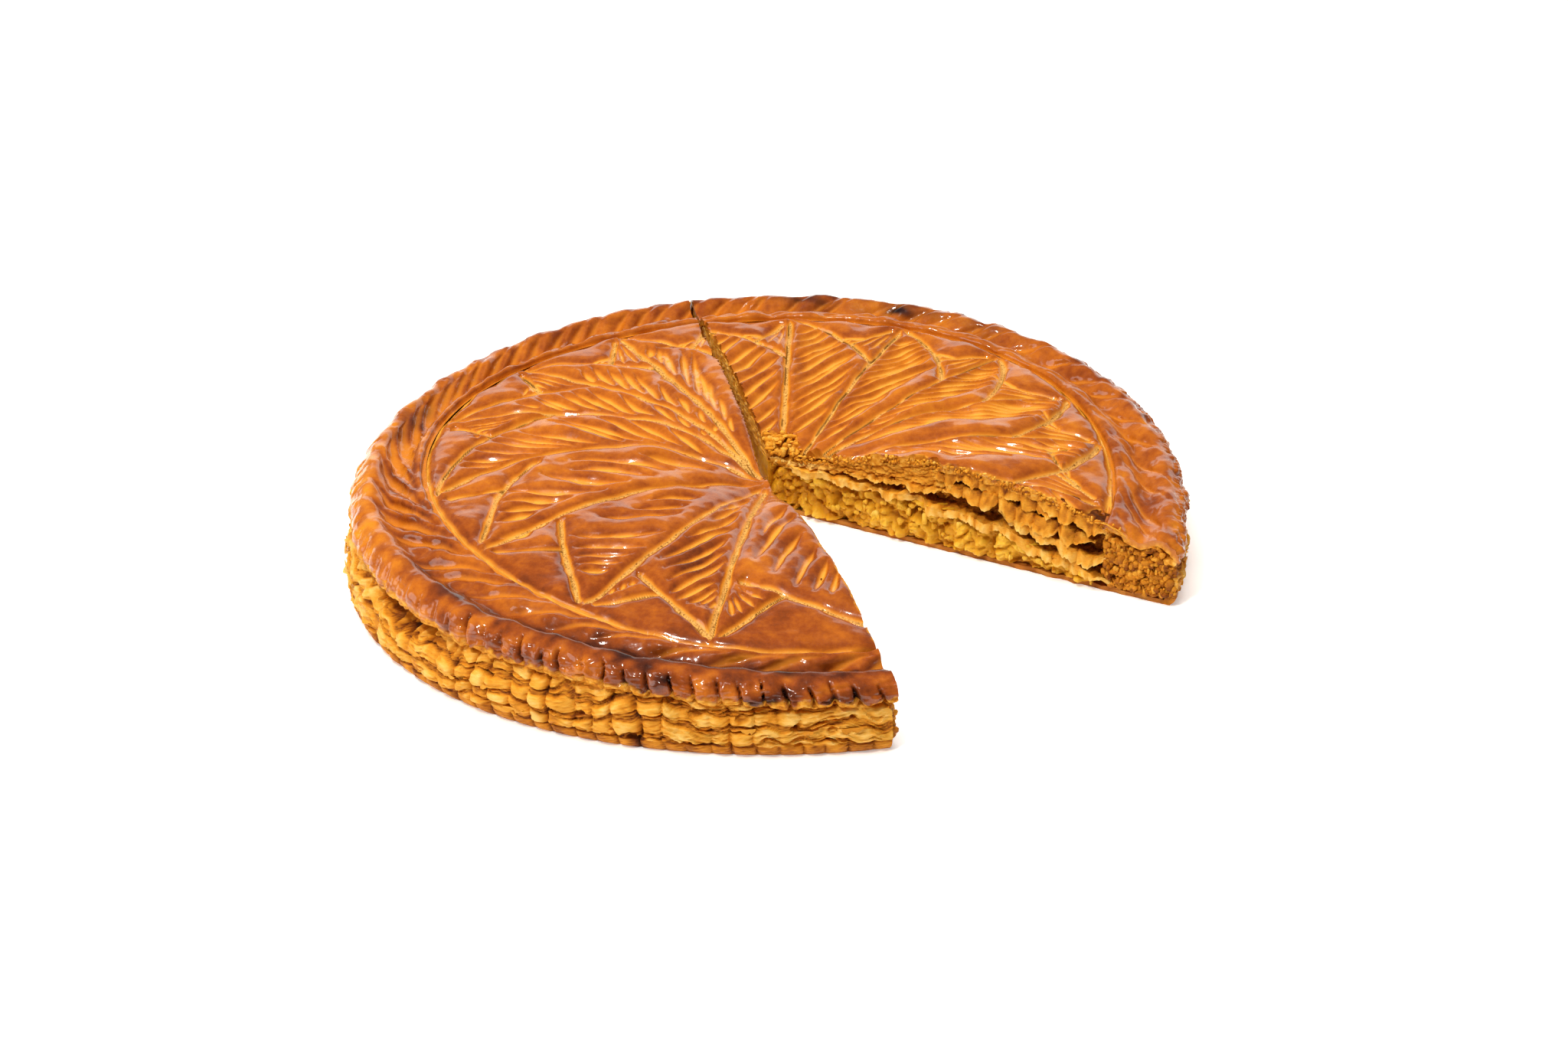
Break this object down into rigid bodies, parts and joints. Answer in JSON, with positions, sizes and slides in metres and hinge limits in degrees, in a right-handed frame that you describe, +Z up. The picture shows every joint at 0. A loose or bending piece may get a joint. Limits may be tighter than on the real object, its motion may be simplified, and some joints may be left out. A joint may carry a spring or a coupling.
{
  "type": "galette des rois",
  "caption": "Round puff pastry cake with a scored leaf pattern, notched rim and almond filling, halved by a knife cut and with one slice taken out.",
  "frame": {"origin": "centre of the bounding box at the flat underside, where the cake stands on the table", "axes": "+Z up out of the scored lid; +X to the right and -Y to the front, the side from which the missing slice opens to the right"},
  "size_m": [0.2591, 0.2602, 0.0317],
  "materials": {
    "glazed_crust": "egg-washed and baked, amber to dark brown, glossy on top and matt and flaky at the sides and cuts",
    "almond_filling": "moist crumb, mustard yellow, matt"
  },
  "bodies": {
    "root": {"left_pastry": "glazed_crust", "left_filling": "almond_filling", "right_pastry": "glazed_crust", "right_filling": "almond_filling"}
  },
  "joints": []
}
